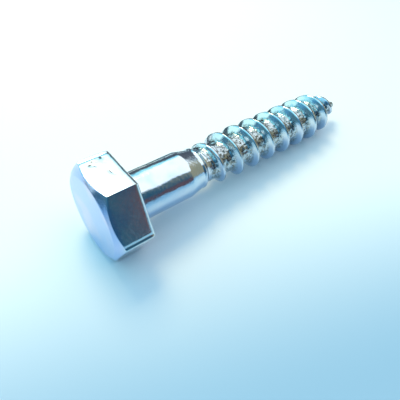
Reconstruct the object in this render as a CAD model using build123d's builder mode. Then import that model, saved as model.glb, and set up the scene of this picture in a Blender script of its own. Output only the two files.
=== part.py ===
"""A hex head lag screw: one solid, lying as it comes to rest on a table.

Lengths are in millimetres. The origin is where the shank's axis meets the bearing face under the head.
The screw points along +X and dips towards its tip, because the head props it up.
"""

import os
from math import asin, atan2, ceil, cos, hypot, radians, sin, tan

from build123d import *

# Head
HEAD_ACROSS_FLATS = 17.0
HEAD_HEIGHT = 7.0
HEAD_RIM_D = 15.6  # round flat left on the end face by the chamfer
HEAD_CHAMFER_DEG = 32.0
HEAD_EDGE_R = 0.35  # worn corners of the hexagon and of its bearing side
UNDER_HEAD_FLARE = 0.25

# Shank, and the short taper from it to the thread
SHANK_D = 9.5
SHANK_LENGTH = 11.9
SHOULDER_D = 8.3
SHOULDER_X = 15.6
ROOT_X = 17.0

# Coarse wood thread
THREAD_D = 9.96
ROOT_D = 7.0
PITCH = 4.5
FLANK_DEG = 30.0  # each side of the ridge, from the radius
CREST_WIDTH = 0.4
CREST_UP_X = 18.47  # where the crest crosses the line of the top flat
RUN_IN_X = 15.0  # the ridge starts to rise out of the taper here
FULL_THREAD_X = 22.0

# Gimlet point
POINT_X = 48.0
CREST_END_X = 58.6
CREST_BLUNTNESS = 2.3  # how late the crest falls away on the point: 1 is a cone, 2 a parabola
NUB_X = 58.2
NUB_D = 1.3
TIP_X = 58.7

# How the ridge is built: steps in each turn, and how far its foot and its ends are sunk in the core
STATIONS = 10
FOOT = 0.85
SUNK = 0.93

# The core's outline from the shank to the tip, as distance along the axis and radius
OUTLINE = [
    (SHANK_LENGTH, SHANK_D / 2),
    (SHOULDER_X, SHOULDER_D / 2),
    (ROOT_X, ROOT_D / 2),
    (POINT_X, ROOT_D / 2),
    (NUB_X, NUB_D / 2),
    (TIP_X, 0),
]


def core_radius(x):
    """Radius of the core at distance x along the axis."""
    if x <= SHANK_LENGTH:
        return SHANK_D / 2
    for (x0, r0), (x1, r1) in zip(OUTLINE, OUTLINE[1:]):
        if x <= x1:
            return r0 + (r1 - r0) * (x - x0) / (x1 - x0)
    return 0


def crest_radius(x):
    """Radius of the thread's crest: it rises on the taper, runs level, and rounds off on the point."""
    full = THREAD_D / 2
    start = SUNK * core_radius(RUN_IN_X)
    if x < FULL_THREAD_X:
        level = start + (full - start) * (x - RUN_IN_X) / (FULL_THREAD_X - RUN_IN_X)
    elif x < POINT_X:
        level = full
    else:
        level = full * (1 - min(1, (x - POINT_X) / (CREST_END_X - POINT_X)) ** CREST_BLUNTNESS)
    return max(level, SUNK * core_radius(x))


def dip_on_crest(x):
    """How far the axis dips when the head's worn edge and the crest at distance x both touch the table."""
    drop = HEAD_ACROSS_FLATS / 2 - HEAD_EDGE_R - crest_radius(x)
    run = x + CREST_WIDTH / 2 + HEAD_EDGE_R
    return atan2(drop, run) + asin(HEAD_EDGE_R / hypot(drop, run))


# The screw comes down on the first crest below the axis that reaches the table
crests_below = [CREST_UP_X + PITCH * (turn + 0.5) for turn in range(ceil((TIP_X - CREST_UP_X) / PITCH))]
TILT = min(dip_on_crest(x) for x in crests_below)

axis_dir = (cos(TILT), 0, -sin(TILT))
screw_axis = Axis((0, 0, 0), axis_dir)
# Across the screw at the bearing face, and along it through the middle of the top flat
across = Plane(origin=(0, 0, 0), x_dir=(0, 1, 0), z_dir=axis_dir)
along = Plane(origin=(0, 0, 0), x_dir=axis_dir, z_dir=(0, -1, 0))


def on_screw(x, radius, turned):
    """A point at distance x along the axis, turned from the top flat by an angle in degrees."""
    angle = radians(turned)
    return along.from_local_coords(Vector(x, radius * cos(angle), radius * sin(angle)))


def ridge_section(x):
    """The four corners of the ridge where its crest is at distance x: foot, crest, crest, foot."""
    turned = 360 * (x - CREST_UP_X) / PITCH
    crest = crest_radius(x)
    foot = FOOT * core_radius(x)
    half_crest = CREST_WIDTH / 2
    half_foot = half_crest + (crest - foot) * tan(radians(FLANK_DEG))
    return [
        on_screw(x - half_foot, foot, turned),
        on_screw(x - half_crest, crest, turned),
        on_screw(x + half_crest, crest, turned),
        on_screw(x + half_foot, FOOT * core_radius(x + half_foot), turned),
    ]


def ridge_piece(start, end):
    """A length of the ridge, between helical lines through the corners of its sections."""
    sections = [ridge_section(start + (end - start) * i / STATIONS) for i in range(STATIONS + 1)]
    steps = [i / STATIONS for i in range(STATIONS + 1)]
    # Each line leaves and arrives in the helix's own direction, so that the pieces run on smoothly
    small = PITCH / 1000
    headings = []
    for x in (start, end):
        pairs = zip(ridge_section(x - small), ridge_section(x + small))
        headings.append([(after - before) * (end - start) / (2 * small) for before, after in pairs])
    lines = [
        Edge.make_spline(list(points), tangents=ways, parameters=steps, scale=False)
        for points, ways in zip(zip(*sections), zip(*headings))
    ]
    sides = [Face.make_surface_from_curves(lines[i - 1], lines[i]) for i in range(4)]
    ends = [Face(Wire.make_polygon(sections[i])) for i in (0, -1)]
    return Solid(Shell(sides + ends))


ridge_end = NUB_X - CREST_WIDTH / 2  # sunk in the nub
turns = ceil((ridge_end - RUN_IN_X) / PITCH)
piece_length = (ridge_end - RUN_IN_X) / turns
ridge = [
    ridge_piece(RUN_IN_X + turn * piece_length, RUN_IN_X + (turn + 1) * piece_length)
    for turn in range(turns)
]

with BuildPart() as lag_screw:
    # Hexagon head with a flat on top and below
    with BuildSketch(across):
        RegularPolygon(radius=HEAD_ACROSS_FLATS / 2, side_count=6, major_radius=False)
    head = extrude(amount=-HEAD_HEIGHT)
    bearing_edges = lag_screw.faces().sort_by(screw_axis)[-1].edges()
    corner_edges = lag_screw.edges().filter_by(screw_axis)
    fillet(bearing_edges + corner_edges, radius=HEAD_EDGE_R)
    # Chamfer that leaves a round flat on the end face
    reach = HEAD_ACROSS_FLATS
    with BuildSketch(along):
        with BuildLine():
            Polyline(
                (-HEAD_HEIGHT, HEAD_RIM_D / 2),
                (-HEAD_HEIGHT + reach * tan(radians(HEAD_CHAMFER_DEG)), HEAD_RIM_D / 2 + reach),
                (-HEAD_HEIGHT, HEAD_RIM_D / 2 + reach),
                close=True,
            )
        make_face()
    revolve(axis=screw_axis, mode=Mode.SUBTRACT)
    # Shank, taper, core and point in one turned outline
    with BuildSketch(along):
        with BuildLine():
            Polyline((-HEAD_HEIGHT / 2, 0), (-HEAD_HEIGHT / 2, SHANK_D / 2), *OUTLINE, close=True)
        make_face()
    revolve(axis=screw_axis)
    under_head = lag_screw.edges().filter_by(GeomType.CIRCLE).sort_by_distance((0, 0, 0))[0]
    chamfer(under_head, length=UNDER_HEAD_FLARE)
    # The thread
    add(ridge)

os.makedirs("parts", exist_ok=True)
lag_screw.part.label = "lag_screw"
export_step(lag_screw.part, "parts/lag_screw.step")
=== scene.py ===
"""Looks for the lag screw: bright zinc plate on steel, lying on a white table.

The scene is in metres in the part's own frame. The origin is where the shank's axis meets the bearing face,
+X runs from the head to the tip and +Z is up. The screw's own sizes are in millimetres.
"""

from math import asin, atan2, ceil, cos, hypot, radians, sin, tan

import bpy
import numpy as np
from mathutils import Euler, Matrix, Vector, noise


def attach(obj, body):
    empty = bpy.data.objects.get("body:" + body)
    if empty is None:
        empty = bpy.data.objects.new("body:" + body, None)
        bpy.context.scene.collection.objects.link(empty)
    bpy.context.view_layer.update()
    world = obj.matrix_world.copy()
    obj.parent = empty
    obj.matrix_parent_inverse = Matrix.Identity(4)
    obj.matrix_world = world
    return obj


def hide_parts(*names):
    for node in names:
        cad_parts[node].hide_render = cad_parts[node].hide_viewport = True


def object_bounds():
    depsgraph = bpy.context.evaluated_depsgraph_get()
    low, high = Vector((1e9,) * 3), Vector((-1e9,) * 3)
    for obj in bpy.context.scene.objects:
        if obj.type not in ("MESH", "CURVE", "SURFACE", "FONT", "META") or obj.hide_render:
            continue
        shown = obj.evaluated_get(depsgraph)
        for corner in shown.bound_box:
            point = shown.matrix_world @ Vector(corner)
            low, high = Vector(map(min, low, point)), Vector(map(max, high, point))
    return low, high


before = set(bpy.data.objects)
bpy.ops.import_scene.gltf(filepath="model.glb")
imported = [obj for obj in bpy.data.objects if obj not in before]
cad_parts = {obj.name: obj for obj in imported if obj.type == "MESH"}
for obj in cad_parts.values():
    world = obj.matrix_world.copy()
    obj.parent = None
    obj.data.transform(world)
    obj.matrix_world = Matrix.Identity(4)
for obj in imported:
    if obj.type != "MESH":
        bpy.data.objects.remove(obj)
CAD_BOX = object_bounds()

MM = 0.001

# Sizes of the screw in millimetres, as in the part's source
HEAD_ACROSS_FLATS = 17.0
HEAD_HEIGHT = 7.0
HEAD_RIM_D = 15.6
HEAD_CHAMFER_DEG = 32.0
HEAD_EDGE_R = 0.35
UNDER_HEAD_FLARE = 0.25
SHANK_D = 9.5
SHANK_LENGTH = 11.9
SHOULDER_D = 8.3
SHOULDER_X = 15.6
ROOT_X = 17.0
THREAD_D = 9.96
ROOT_D = 7.0
PITCH = 4.5
FLANK_DEG = 30.0
CREST_WIDTH = 0.4
CREST_UP_X = 18.47
RUN_IN_X = 15.0
FULL_THREAD_X = 22.0
POINT_X = 48.0
CREST_END_X = 58.6
CREST_BLUNTNESS = 2.3
NUB_X = 58.2
NUB_D = 1.3
TIP_X = 58.7
SUNK = 0.93

# A hexagon's side spans this angle, and its first corner lies half of that from the middle of the top flat
HEX_SIDE_DEG = 60
HEX_CORNER_DEG = 30

# Worn head: reach of its rounded edges, radius of its sharper corners, and the corners that are worn most
CHAMFER_EDGE = 0.12
BEARING_EDGE = 0.8
SHARP_CORNER_R = 0.15
WORN_CORNERS_DEG = (90, 270, 330)

# Ragged edge on the head's bearing side: depth, size, slice of the noise, and where it starts and is full
BURR = 0.12
BURR_SIZE = 0.7
BURR_SLICE = 3
BURR_X = (-0.7, -0.1)
BURR_RADIUS = (7.6, 8.2)

# Lip where the taper ends: height, peak, start and end, and how much higher than the root it ends
LIP = 0.1
LIP_X = SHOULDER_X - 0.2
LIP_START_X = LIP_X - 0.5
LIP_END_X = SHOULDER_X + 0.4
AFTER_LIP = 0.25

# The ridge's soft foot, the turns of it that can reach one point, and a depth at which it is out of sight
RIDGE_SOFTNESS = 0.12
NEAR_TURNS = (-1, 0, 1)
SUNK_DEEP = 3

# The point is worn on one side: depth, where that starts and is full, and the side
POINT_WORN = 0.6
POINT_WORN_X = (46, 55.5)
POINT_WORN_DEG = 40

# Thin rings pressed in ahead of the first turn, which starts near this distance
RING_BACK = (0.85, 1.4, 1.95)
RING_HEIGHT = (0.2, 0.16, 0.12)
RING_WIDTH = 0.15
FIRST_TURN_X = 17.5

# The seam that rolling left along the crest
SEAM_DEPTH = 0.07
SEAM_OFFSET = 0.08
SEAM_WIDTH = 0.09
SEAM_START_X = (18, 20)
SEAM_CLOSED_X = (40, 30)

# Grain of the drawn shank, waves in the crests, and pebbles and grit in the roots: height and size
SHANK_GRAIN = 0.01
GRAIN_SIZE = 0.34
CREST_WAVE = 0.03
WAVE_SIZE = (2.4, 1.6, 1.6)
ROOT_PEBBLE = 0.11
PEBBLE_SIZE = 0.62
PEBBLE_SHIFT = (7, 0, 0)
ROOT_GRIT = 0.03
ROOT_RISE = (0.1, 0.7)
ROOT_START_X = (ROOT_X - 0.8, ROOT_X + 0.6)

# Pits and a scratch on the top flat: place and half size, along and across the screw. They mark only points
# that lie within a hair of the flat.
PITS = (
    (-2.2, 3.75, 0.28, 0.3),
    (-4.53, 2.93, 0.3, 0.24),
    (-3.9, 2.42, 0.16, 0.18),
    (-3.91, 3.55, 0.14, 0.2),
    (-2.4, -0.1, 0.1, 0.6),
)
PIT_DEPTH = 0.07
FLAT_HAIR = 0.05

# How finely the surface is drawn
COLUMNS = 180
NEAR_CORNER_DEG = (-1.3, -0.9, -0.5, -0.25, 0.25, 0.5, 0.9, 1.3)
ROWS_PER_TURN = 26
ROW_CROWDING = 1.3
HEAD_ROW = 0.32
HEAD_SPLIT_X = -3
HUB_R = 0.3

# Rows that draw a rounded edge, and the share of a side that it may take up
EDGE_ROWS = 4
EDGE_SHARE = 0.45

# Tints of the zinc: bare, thicker passivation, rosy, a painted shade on the underside that stands for the
# shadowed table it reflects, and on the head's end face
ZINC_CLEAR = (0.74, 0.82, 0.84)
ZINC_BLUE = (0.52, 0.72, 0.84)
ZINC_ROSE = (0.66, 0.64, 0.84)
PAINTED_UNDER_SHADE = (0.4, 0.54, 0.72)
ZINC_END = (0.43, 0.57, 0.86)
ROOT_DULL = (0.38, 0.47, 0.46)
ROOT_BROWN = (0.12, 0.12, 0.1)
# Painted shade in the seam along the crest
SEAM_SHADE = (0.1, 0.13, 0.13)
PIT_DARK = (0.12, 0.14, 0.15)

# Where a tint starts and is full, in millimetres along the screw or up from its axis
END_TINT_X = (-HEAD_HEIGHT + 1.6, -HEAD_HEIGHT + 0.4)
# Where the painted shade on the underside starts and is full
UNDER_SHADE_UP = (3.0, -1.0)
UNDER_SHADE_X = (0.0, 0.5)
NUB_TINT_X = (NUB_X - 0.4, NUB_X)
TOP_FLAT_UP = (8.0, 8.3)

# Patterns in the plating. Noise: scale per millimetre, detail, and roughness if it isn't 0.5. Levels: where
# the pattern starts and is full, and what it comes to there if that isn't 0 and 1.
DRIFT_NOISE = (0.22, 2.0)
DRIFT_LEVELS = (0.45, 0.65)
ROSY_NOISE = (0.16, 1.0)
ROSY_LEVELS = (0.42, 0.68)
SPOT_NOISE = (1.9, 4.0, 0.7)
SPOT_LEVELS = (0.47, 0.58)
# Noise that breaks up the painted shade in the seam
SEAM_SHADE_NOISE = (0.9, 3.0, 0.6)
SEAM_SHADE_LEVELS = (0.4, 0.55, 0.15, 0.9)
GLOSS_NOISE = (2.2, 3.0, 0.6)
GLOSS_LEVELS = (0.3, 0.7, 0.07, 0.17)
GRAIN_NOISE = (3.2, 3.0, 0.65)
FRAY_NOISE = (2.5, 2.0)

# How strong each pattern is. The rosy one differs between the shank and the head's end face.
DRIFT_SHARE = 0.7
ROSY_SHARE = (0.25, 0.8)
DULL_SHARE = 0.5
SPOT_SHARE = 0.85
FRAY_SHARE = 1.2
PIT_FADE = (1.9, 1.1)
ROOT_ROUGHER = 0.08
GRAIN_STRENGTH = 0.6
GRAIN_DEPTH = 0.02

# Table, in metres: its tint, a painted shadow towards the viewer, fades along Y plus a share of X
FLOOR_SIZE = 0.7
FLOOR_PALE = (0.97, 0.95, 1.0)
FLOOR_SHADOW_BLUE = (0.38, 0.55, 0.72)
FLOOR_SLANT = 0.4
FLOOR_SHADOW_FADE = (-0.042, 0.004)
FLOOR_ROUGHNESS = 0.9

# Lamp behind the screw, in metres
LAMP_AT = (0.046, 0.15, 0.235)
LAMP_AIM = (0, 0.02, 0)
LAMP_SIZE = 0.12
LAMP_WATTS = 0.4
LAMP_COLOUR = (1.0, 0.85, 0.45)

# Bright panel overhead with a brighter core. Their reach is for a ceiling of height 1. It fades in over a
# small rise above the horizon, and lower directions count as the lowest rise.
PANEL_X = (-1.6, 1.32)
PANEL_Y = (-0.85, 2.2)
PANEL_EDGE = 0.06
PANEL_COLOUR = (0.42, 1.02, 1.22)
CORE_X = (0.2, 1.32)
CORE_Y = (-0.85, 1.3)
CORE_COLOUR = (1.25, 1.35, 1.45)
CEILING_RISE = (0.0, 0.05)
LOWEST_RISE = 0.02

# Walls, and the stretch of the direction over which each takes the place of the one before
WALL_DARK = (0.1, 0.12, 0.15)
WALL_TEAL = (0.03, 0.11, 0.18)
WALL_TEAL_Y = (0.1, -0.75)
WALL_HEAD = (0.08, 0.2, 0.27)
WALL_HEAD_X = (-0.3, -0.7)

# Patches on the walls: azimuth, elevation, and the angles where the patch starts and ends its fade. Two of
# them also fade in upwards.
OLIVE_AT = (-25, 20, 20, 36)
OLIVE_COLOUR = (0.37, 0.35, 0.25)
BROWN_AT = (-62, 5, 8, 11)
BROWN_COLOUR = (0.14, 0.09, 0.11)
GLOW_AT = (-145, 35, 35, 60)
GLOW_RISE = (0.3, 0.5)
GLOW_COLOUR = (0.08, 0.34, 0.62)
SIDE_AT = (122, 16, 29, 34)
SIDE_RISE = (0.01, 0.04)
SIDE_COLOUR = (0.85, 1.3, 1.35)

# Dark card behind the screw, in metres
FLAG_X = 0.046
FLAG_BEHIND = 0.03
FLAG_LENGTH = 0.07
FLAG_HEIGHT = 0.009
FLAG_COLOUR = (0.12, 0.14, 0.16)

# Camera, as fitted to the photograph, in millimetres
CAMERA_AT = (-18.24, -44.32, 53.38)
CAMERA_TURN_DEG = (40.99, -0.38, -37.92)
CAMERA_LENS = 35.2
SENSOR_WIDTH = 36

# Nearest and farthest that the camera sees, in metres
CLIP = (0.005, 10)

# Sockets of a mix node that blends colours
MIX_FACTOR = 0
MIX_A = 6
MIX_B = 7
MIX_RESULT = 2


def core_radius(x):
    """Radius of the core under the thread at distance x along the axis, in millimetres."""
    shank = SHANK_D / 2
    shoulder = SHOULDER_D / 2
    root = ROOT_D / 2
    stops = [0, SHANK_LENGTH, LIP_START_X, LIP_X, LIP_END_X, ROOT_X, POINT_X, NUB_X, TIP_X]
    radii = [shank, shank, shoulder, shoulder + LIP, root + AFTER_LIP, root, root, NUB_D / 2, 0]
    return np.interp(x, stops, radii)


def crest_radius(x):
    """Radius of the thread's crest at distance x along the axis."""
    full = THREAD_D / 2
    start = SUNK * core_radius(RUN_IN_X)
    rise = start + (full - start) * (x - RUN_IN_X) / (FULL_THREAD_X - RUN_IN_X)
    fall = full * (1 - np.clip((x - POINT_X) / (CREST_END_X - POINT_X), 0, 1) ** CREST_BLUNTNESS)
    return np.where(x < RUN_IN_X, 0, np.minimum(np.minimum(rise, full), fall))


def dip_on_crest(x):
    """How far the axis dips when the head's worn edge and the crest at distance x both touch the table."""
    drop = HEAD_ACROSS_FLATS / 2 - HEAD_EDGE_R - float(crest_radius(x))
    run = x + CREST_WIDTH / 2 + HEAD_EDGE_R
    return atan2(drop, run) + asin(HEAD_EDGE_R / hypot(drop, run))


TURNS_TO_TIP = ceil((TIP_X - CREST_UP_X) / PITCH)
TILT = min(dip_on_crest(CREST_UP_X + PITCH * (turn + 0.5)) for turn in range(TURNS_TO_TIP))
AXIS = np.array((cos(TILT), 0, -sin(TILT)))
UP = np.array((sin(TILT), 0, cos(TILT)))
SIDE = np.array((0, -1, 0))


def smooth_max(a, b, width):
    """The larger of two arrays, with the corner between them rounded over about this width."""
    return 0.5 * (a + b + np.sqrt((a - b) ** 2 + width**2))


def smooth_step(value, low, high):
    """0 at low, 1 at high and smooth between, for arrays. Low may be the larger."""
    t = np.clip((value - low) / (high - low), 0, 1)
    return t * t * (3 - 2 * t)


def noise_at(points):
    """Smooth noise about 0 at each point of an array."""
    return np.array([noise.noise(point) for point in points.tolist()])


def crest_near(x, turned):
    """Where the crest lies on a line along the screw: the one nearest to distance x."""
    return CREST_UP_X + PITCH * (turned / 360 + np.round((x - CREST_UP_X) / PITCH - turned / 360))


def crest_seam(x, turned):
    """1 on the line of the seam along the crest, 0 away from it."""
    off = (x - crest_near(x, turned) - SEAM_OFFSET) / SEAM_WIDTH
    return np.exp(-(off**2)) * smooth_step(x, *SEAM_START_X)


def body_radius(x, turned):
    """Radius of the shank and thread at distance x, turned from the top flat by an angle in degrees."""
    core = core_radius(x)
    nearest = crest_near(x, turned)
    worn_side = (1 + np.cos(np.radians(turned - POINT_WORN_DEG))) / 2
    radius = core
    for turn in NEAR_TURNS:
        crest_x = nearest + PITCH * turn
        away = np.clip(np.abs(x - crest_x) - CREST_WIDTH / 2, 0, None)
        crest = crest_radius(crest_x) - POINT_WORN * smooth_step(crest_x, *POINT_WORN_X) * worn_side
        ridge = np.maximum(crest, 0) - away / tan(radians(FLANK_DEG))
        radius = smooth_max(radius, ridge, RIDGE_SOFTNESS)
    # Each round lifts the level parts by a hair, as a ridge far below does too, which comes off again
    lift = smooth_max(core, core - SUNK_DEEP, RIDGE_SOFTNESS) - core
    radius = radius - len(NEAR_TURNS) * lift
    first_crest = crest_near(FIRST_TURN_X, turned)
    for back, height in zip(RING_BACK, RING_HEIGHT):
        ring = height * np.exp(-(((x - first_crest + back) / RING_WIDTH) ** 2))
        radius = radius + ring * smooth_step(x, SHOULDER_X, LIP_END_X)
    radius = radius - SEAM_DEPTH * crest_seam(x, turned) * smooth_step(x, *SEAM_CLOSED_X)
    return radius + wear(x, radius, turned)


def root_mask(x, radius):
    """1 at the thread's root, 0 on its upper flanks, on the shank and on the head."""
    rise = smooth_step(radius - core_radius(x), *ROOT_RISE)
    return (1 - rise) * smooth_step(x, *ROOT_START_X)


def wear(x, radius, turned):
    """How far the real surface strays from the true one: pebbled roots, a drawn shank, uneven crests."""
    angle = np.radians(turned)
    points = np.stack((x, radius * np.cos(angle), radius * np.sin(angle)), axis=-1)
    in_root = root_mask(x, radius)
    fine = noise_at(points / GRAIN_SIZE)
    wave = noise_at(points / WAVE_SIZE)
    pebble = noise_at(points / PEBBLE_SIZE + PEBBLE_SHIFT)
    even = SHANK_GRAIN * fine + CREST_WAVE * wave * (1 - in_root)
    return even + in_root * (ROOT_PEBBLE * pebble + ROOT_GRIT * fine)


def head_radius(turned):
    """Radius of the hexagon's outline, with its worn corners."""
    from_corner = turned % HEX_SIDE_DEG - HEX_CORNER_DEG
    off_corner = np.radians(np.abs(from_corner))
    flat = HEAD_ACROSS_FLATS / 2 / np.cos(radians(HEX_CORNER_DEG) - off_corner)
    # The two corners at the sides and the far one of the top flat are worn most
    worn_most = np.isin(np.round(turned - from_corner), WORN_CORNERS_DEG)
    rounding = np.where(worn_most, HEAD_EDGE_R, SHARP_CORNER_R)
    centre = (HEAD_ACROSS_FLATS / 2 - rounding) / cos(radians(HEX_CORNER_DEG))
    inside = rounding**2 - (centre * np.sin(off_corner)) ** 2
    arc = centre * np.cos(off_corner) + np.sqrt(np.clip(inside, 0, None))
    return np.where((inside > 0) & (arc < flat), arc, flat)


def columns():
    """Angles of the columns of vertices: even all round, and closer at the hexagon's corners."""
    even = np.arange(COLUMNS) * 360 / COLUMNS
    corners = np.arange(HEX_CORNER_DEG, 360, HEX_SIDE_DEG)
    near = (corners[:, None] + np.array(NEAR_CORNER_DEG)).ravel()
    return np.sort(np.concatenate((even, near)))


def rounded(points, reach):
    """A profile with each inner corner rounded: lists of (x, radius) arrays with one row for each column."""
    out = [points[0]]
    for before, corner, after in zip(points, points[1:], points[2:]):
        ends = []
        for way in (before - corner, after - corner):
            share = np.minimum(reach / np.linalg.norm(way, axis=-1), EDGE_SHARE)
            ends.append(corner + way * share[:, None])
        for t in np.linspace(0, 1, EDGE_ROWS):
            out.append((1 - t) ** 2 * ends[0] + 2 * t * (1 - t) * corner + t**2 * ends[1])
    out.append(points[-1])
    return out


def divided(profile, longest):
    """The same profile with its long straight parts divided into rows no longer than this."""
    out = [profile[0]]
    for a, b in zip(profile, profile[1:]):
        pieces = max(1, ceil(np.linalg.norm(b - a, axis=-1).max() / longest))
        out.extend(a + (b - a) * i / pieces for i in range(1, pieces + 1))
    return out


def head_rows(turned):
    """Rows of the head from the hub of the end face to the start of the shank."""
    outer = head_radius(turned)
    even = np.ones_like(turned)
    rim = HEAD_RIM_D / 2
    chamfer_end = -HEAD_HEIGHT + (outer - rim) * tan(radians(HEAD_CHAMFER_DEG))
    shank = SHANK_D / 2

    def at(x, radius):
        return np.stack((even * x, even * radius), axis=-1)

    split = at(HEAD_SPLIT_X, outer)
    end_face = [at(-HEAD_HEIGHT, HUB_R), at(-HEAD_HEIGHT, rim)]
    front = rounded(end_face + [at(chamfer_end, outer), split], CHAMFER_EDGE)
    back = rounded([split, at(0, outer), at(0, shank + 1)], BEARING_EDGE)
    neck = [at(0, shank + UNDER_HEAD_FLARE), at(UNDER_HEAD_FLARE, shank)]
    return [head_wear(row, turned) for row in divided(front + back[1:] + neck, HEAD_ROW)]


def head_wear(row, turned):
    """A row of the head with the pits in its top flat and a ragged edge on its bearing side."""
    x, radius = row.T
    angle = np.radians(turned)
    across = radius * np.sin(angle)
    up = radius * np.cos(angle)
    on_top = up > HEAD_ACROSS_FLATS / 2 - FLAT_HAIR
    worn = radius.copy()
    for pit_x, pit_y, size_x, size_y in PITS:
        off = ((x - pit_x) / size_x) ** 2 + ((-across - pit_y) / size_y) ** 2
        worn -= on_top * PIT_DEPTH * np.exp(-off)
    # The ragged edge is alike all along the screw, so it takes one slice of the noise
    slice_at = np.full_like(x, BURR_SLICE)
    ragged = noise_at(np.stack((across / BURR_SIZE, up / BURR_SIZE, slice_at), axis=-1))
    worn -= BURR * np.abs(ragged) * smooth_step(x, *BURR_X) * smooth_step(radius, *BURR_RADIUS)
    return np.stack((x, worn), axis=-1)


def helix_levels(start_x):
    """Where the rows that follow the helix cross the line of the top flat. They are closer at the crest."""
    half = ROWS_PER_TURN // 2
    part = np.arange(-half, half) / half
    offset = np.sign(part) * np.abs(part) ** ROW_CROWDING * PITCH / 2
    first = -ceil((CREST_UP_X - start_x) / PITCH) - 2
    last = TURNS_TO_TIP + 1
    return np.concatenate([CREST_UP_X + PITCH * n + offset for n in range(first, last)])


def add_face(faces, corners):
    """Adds a face between four vertices, some of which may be one and the same."""
    kept = [int(c) for i, c in enumerate(corners) if c not in corners[:i]]
    if len(kept) > 2:
        faces.append(kept)


def make_screw():
    """One closed mesh: head rows, then rows that follow the thread's helix down to the tip."""
    turned = columns()
    count = len(turned)
    # Each point is its distance, radius and angle, then how much it is root and seam
    points = [(-HEAD_HEIGHT, 0, 0, 0, 0)]
    faces = []
    ring = [0] * count
    for row in head_rows(turned):
        new_ring = list(range(len(points), len(points) + count))
        points.extend((x, radius, angle, 0, 0) for (x, radius), angle in zip(row, turned))
        for j in range(count):
            k = (j + 1) % count
            add_face(faces, (ring[j], ring[k], new_ring[k], new_ring[j]))
        ring = new_ring
    tip = len(points)
    points.append((TIP_X, 0, 0, 0, 0))
    # Vertices before the start of the shank or after the tip collapse on to them
    start_x = UNDER_HEAD_FLARE
    levels = helix_levels(start_x)
    grid = np.empty((len(levels), count + 1), int)
    for i, level in enumerate(levels):
        x = level + PITCH * turned / 360
        radius = body_radius(x, turned)
        row = np.stack((x, radius, turned, root_mask(x, radius), crest_seam(x, turned)), axis=-1)
        for j in range(count):
            if x[j] <= start_x:
                grid[i, j] = ring[j]
            elif x[j] >= TIP_X:
                grid[i, j] = tip
            else:
                grid[i, j] = len(points)
                points.append(row[j])
    # The last column is the first one, a turn further on
    for i in range(len(levels)):
        after = i + ROWS_PER_TURN
        grid[i, count] = grid[after, 0] if after < len(levels) else tip
    for i in range(len(levels) - 1):
        for j in range(count):
            add_face(faces, (grid[i, j], grid[i, j + 1], grid[i + 1, j + 1], grid[i + 1, j]))
    x, radius, turned, root, seam = np.array(points).T
    mesh = bpy.data.meshes.new("zinc_screw")
    mesh.from_pydata((screw_to_row(x, radius, turned) * MM).tolist(), [], faces)
    for name, value in (("root", root), ("seam", seam)):
        mesh.attributes.new(name, "FLOAT", "POINT").data.foreach_set("value", value)
    mesh.validate()
    mesh.polygons.foreach_set("use_smooth", [True] * len(mesh.polygons))
    made = bpy.data.objects.new("zinc_screw", mesh)
    bpy.context.collection.objects.link(made)
    return made


def screw_to_row(x, radius, turned):
    """Points given along and round the screw, in the row's frame."""
    angle = np.radians(turned)
    up = np.outer(radius * np.cos(angle), UP)
    sideways = np.outer(radius * np.sin(angle), SIDE)
    return np.outer(x, AXIS) + up + sideways


class Nodes:
    """Short hand for building one material's or world's node tree."""

    def __init__(self, tree):
        self.tree = tree

    def add(self, kind, **settings):
        node = self.tree.nodes.new("ShaderNode" + kind)
        for name, value in settings.items():
            setattr(node, name, value)
        return node

    def feed(self, socket, value):
        if isinstance(value, bpy.types.NodeSocket):
            self.tree.links.new(value, socket)
        else:
            socket.default_value = value

    def math(self, operation, a, b):
        node = self.add("Math", operation=operation)
        self.feed(node.inputs[0], a)
        self.feed(node.inputs[1], b)
        return node.outputs[0]

    def times(self, a, b):
        return self.math("MULTIPLY", a, b)

    def step(self, value, low, high, to_low=0.0, to_high=1.0):
        """A smooth step from one level to another as the value goes from low to high."""
        node = self.add("MapRange", interpolation_type="SMOOTHSTEP")
        for i, v in enumerate((value, low, high, to_low, to_high)):
            self.feed(node.inputs[i], v)
        return node.outputs[0]

    def mix(self, factor, a, b):
        node = self.add("Mix", data_type="RGBA")
        for i, v in ((MIX_FACTOR, factor), (MIX_A, a), (MIX_B, b)):
            self.feed(node.inputs[i], (*v, 1) if isinstance(v, tuple) else v)
        return node.outputs[MIX_RESULT]

    def split(self, vector):
        node = self.add("SeparateXYZ")
        self.feed(node.inputs[0], vector)
        return node.outputs

    def noise(self, where, scale, detail, rough=0.5):
        node = self.add("TexNoise")
        self.feed(node.inputs["Vector"], where)
        self.feed(node.inputs["Scale"], scale)
        self.feed(node.inputs["Detail"], detail)
        self.feed(node.inputs["Roughness"], rough)
        return node.outputs["Fac"]

    def pattern(self, where, grain, levels):
        """Noise of this grain, stepped between levels."""
        return self.step(self.noise(where, *grain), *levels)


def new_material(name):
    """A material, its nodes and its shader."""
    material = bpy.data.materials.new(name)
    material.use_nodes = True
    return material, Nodes(material.node_tree), material.node_tree.nodes["Principled BSDF"]


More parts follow.
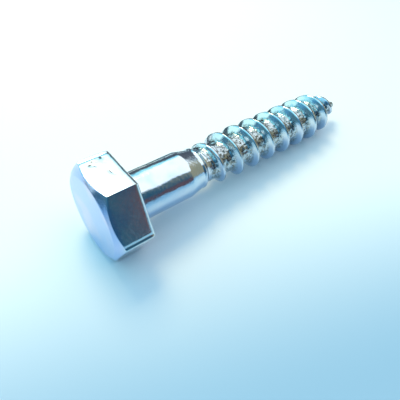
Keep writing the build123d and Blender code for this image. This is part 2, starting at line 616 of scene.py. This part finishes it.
def zinc():
    """Bright zinc plate: a metal with a cool tint that drifts in hue, uneven gloss and a fine grain."""
    material, n, shader = new_material("zinc_plate")
    shader.inputs["Metallic"].default_value = 1
    # Millimetres along and across the screw
    where = n.add("Mapping", vector_type="POINT")
    n.feed(where.inputs["Vector"], n.add("TexCoord").outputs["Object"])
    where.inputs["Rotation"].default_value = (0, -TILT, 0)
    where.inputs["Scale"].default_value = (1 / MM, 1 / MM, 1 / MM)
    place = where.outputs[0]
    root = n.add("Attribute", attribute_name="root").outputs["Fac"]
    seam = n.add("Attribute", attribute_name="seam").outputs["Fac"]
    n.feed(shader.inputs["Base Color"], zinc_tint(n, place, root, seam))
    gloss = n.pattern(place, GLOSS_NOISE, GLOSS_LEVELS)
    n.feed(shader.inputs["Roughness"], n.math("ADD", gloss, n.times(root, ROOT_ROUGHER)))
    bump = n.add("Bump")
    bump.inputs["Strength"].default_value = GRAIN_STRENGTH
    bump.inputs["Distance"].default_value = GRAIN_DEPTH * MM
    n.feed(bump.inputs["Height"], n.noise(place, *GRAIN_NOISE))
    n.feed(shader.inputs["Normal"], bump.outputs[0])
    return material


def zinc_tint(n, place, root, seam):
    """The plating's colour, where it is clean and where it is dull or spotted, with painted shade on the
    underside and in the seam along the crest.
    """
    along, across, up = n.split(place)
    # Passivation: bluer on the head's end face, drifting between clear, blue and rosy elsewhere
    end_face = n.step(along, *END_TINT_X)
    drift = n.pattern(place, DRIFT_NOISE, DRIFT_LEVELS)
    colour = n.mix(n.times(drift, DRIFT_SHARE), ZINC_CLEAR, ZINC_BLUE)
    colour = n.mix(end_face, colour, ZINC_END)
    rosy = n.pattern(place, ROSY_NOISE, ROSY_LEVELS)
    rosy = n.times(rosy, n.step(end_face, 0.0, 1.0, *ROSY_SHARE))
    colour = n.mix(rosy, colour, ZINC_ROSE)
    # Painted shade: deeper blue on the underside of the shank and thread, standing for the reflection of the
    # shadowed table
    under = n.times(n.step(up, *UNDER_SHADE_UP), n.step(along, *UNDER_SHADE_X))
    colour = n.mix(under, colour, PAINTED_UNDER_SHADE)
    # The roots are dull, with brown spots
    colour = n.mix(n.times(root, DULL_SHARE), colour, ROOT_DULL)
    spots = n.pattern(place, SPOT_NOISE, SPOT_LEVELS)
    colour = n.mix(n.times(spots, n.times(root, SPOT_SHARE)), colour, ROOT_BROWN)
    # Painted shade in the seam along the crest, broken up
    seam_shade = n.pattern(place, SEAM_SHADE_NOISE, SEAM_SHADE_LEVELS)
    colour = n.mix(n.times(seam, seam_shade), colour, SEAM_SHADE)
    # The nub at the tip, the pits and the scratch on the top flat are dark
    colour = n.mix(n.step(along, *NUB_TINT_X), colour, PIT_DARK)
    top_flat = n.step(up, *TOP_FLAT_UP)
    fray = n.times(n.noise(place, *FRAY_NOISE), FRAY_SHARE)
    for pit_x, pit_y, size_x, size_y in PITS:
        off_x = n.math("DIVIDE", n.math("SUBTRACT", along, pit_x), size_x)
        off_y = n.math("DIVIDE", n.math("SUBTRACT", across, pit_y), size_y)
        off = n.math("ADD", n.times(off_x, off_x), n.times(off_y, off_y))
        inside = n.step(n.math("ADD", off, fray), *PIT_FADE)
        colour = n.mix(n.times(inside, top_flat), colour, PIT_DARK)
    return colour


def make_floor():
    """A pale table under the screw, with a painted shadow towards the viewer."""
    bpy.ops.mesh.primitive_plane_add(size=FLOOR_SIZE, location=(0, 0, CAD_BOX[0].z))
    floor = bpy.context.object
    floor.name = "table"
    material, n, shader = new_material("table")
    x, y, z = n.split(n.add("TexCoord").outputs["Object"])
    # Painted shadow of the viewer, who stands in the light: darker and bluer towards the viewer
    away = n.math("ADD", y, n.times(x, FLOOR_SLANT))
    n.feed(shader.inputs["Base Color"], n.mix(n.step(away, *FLOOR_SHADOW_FADE), FLOOR_SHADOW_BLUE, FLOOR_PALE))
    shader.inputs["Roughness"].default_value = FLOOR_ROUGHNESS
    floor.data.materials.append(material)


def make_lamp():
    """A warm lamp behind the screw."""
    data = bpy.data.lights.new("lamp", "AREA")
    data.shape = "DISK"
    data.size = LAMP_SIZE
    data.energy = LAMP_WATTS
    data.color = LAMP_COLOUR
    lamp = bpy.data.objects.new("lamp", data)
    lamp.location = LAMP_AT
    lamp.rotation_euler = (Vector(LAMP_AIM) - lamp.location).to_track_quat("-Z", "Y").to_euler()
    bpy.context.collection.objects.link(lamp)


def make_room():
    """The room round the table: a bright panel overhead, a window low behind, dark walls and a blue glow."""
    world = bpy.data.worlds.new("room")
    bpy.context.scene.world = world
    world.use_nodes = True
    n = Nodes(world.node_tree)
    direction = n.add("TexCoord").outputs["Generated"]
    x, y, z = n.split(direction)
    # Where the direction meets a ceiling of height 1
    rise = n.math("MAXIMUM", z, LOWEST_RISE)
    ceiling_x = n.math("DIVIDE", x, rise)
    ceiling_y = n.math("DIVIDE", y, rise)

    def window(reach_x, reach_y):
        """How far a direction lies inside a rectangle of the ceiling, with soft edges."""
        inside = n.step(z, *CEILING_RISE)
        for at, (low, high) in ((ceiling_x, reach_x), (ceiling_y, reach_y)):
            inside = n.times(inside, n.step(at, high + PANEL_EDGE, high - PANEL_EDGE))
            inside = n.times(inside, n.step(at, low - PANEL_EDGE, low + PANEL_EDGE))
        return inside

    def towards(azimuth, elevation, inner, outer):
        """1 within an angle of a direction, falling to 0 at a wider angle. All in degrees."""
        a, e = radians(azimuth), radians(elevation)
        aim = n.add("VectorMath", operation="DOT_PRODUCT")
        n.feed(aim.inputs[0], direction)
        aim.inputs[1].default_value = (cos(e) * cos(a), cos(e) * sin(a), sin(e))
        return n.step(aim.outputs["Value"], cos(radians(outer)), cos(radians(inner)))

    # Walls: dark behind, teal by the camera with a brown thing in it, olive past the tip, teal past the head
    room = n.mix(n.step(y, *WALL_TEAL_Y), WALL_DARK, WALL_TEAL)
    room = n.mix(towards(*OLIVE_AT), room, OLIVE_COLOUR)
    room = n.mix(towards(*BROWN_AT), room, BROWN_COLOUR)
    room = n.mix(n.step(x, *WALL_HEAD_X), room, WALL_HEAD)
    # A blue glow high past the head, then the window low behind the screw, then the panel overhead
    room = n.mix(n.times(towards(*GLOW_AT), n.step(z, *GLOW_RISE)), room, GLOW_COLOUR)
    room = n.mix(n.times(towards(*SIDE_AT), n.step(z, *SIDE_RISE)), room, SIDE_COLOUR)
    room = n.mix(window(PANEL_X, PANEL_Y), room, PANEL_COLOUR)
    room = n.mix(window(CORE_X, CORE_Y), room, CORE_COLOUR)
    n.feed(world.node_tree.nodes["Background"].inputs["Color"], room)


def make_flag():
    """A low dark card behind the screw, which shows only as a reflection in it."""
    bpy.ops.mesh.primitive_plane_add(size=1)
    flag = bpy.context.object
    flag.name = "flag"
    flag.scale = (FLAG_LENGTH, FLAG_HEIGHT, 1)
    flag.rotation_euler = (radians(90), 0, 0)
    flag.location = (FLAG_X, FLAG_BEHIND, CAD_BOX[0].z + FLAG_HEIGHT / 2)
    for kind in ("camera", "diffuse", "transmission", "shadow", "volume_scatter"):
        setattr(flag, "visible_" + kind, False)
    material, n, shader = new_material("flag")
    shader.inputs["Base Color"].default_value = (*FLAG_COLOUR, 1)
    shader.inputs["Roughness"].default_value = 1
    flag.data.materials.append(material)


def make_camera():
    """The camera, placed and turned as in the photograph."""
    data = bpy.data.cameras.new("camera")
    data.lens = CAMERA_LENS
    data.sensor_width = SENSOR_WIDTH
    data.clip_start, data.clip_end = CLIP
    camera = bpy.data.objects.new("camera", data)
    camera.location = Vector(CAMERA_AT) * MM
    camera.rotation_euler = Euler([radians(a) for a in CAMERA_TURN_DEG], "XYZ")
    bpy.context.collection.objects.link(camera)
    bpy.context.scene.camera = camera


make_camera()
screw = make_screw()
screw.data.materials.append(zinc())
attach(screw, "root")
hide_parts("lag_screw")
make_floor()
make_lamp()
make_room()
make_flag()
bpy.context.scene.view_settings.view_transform = "Standard"
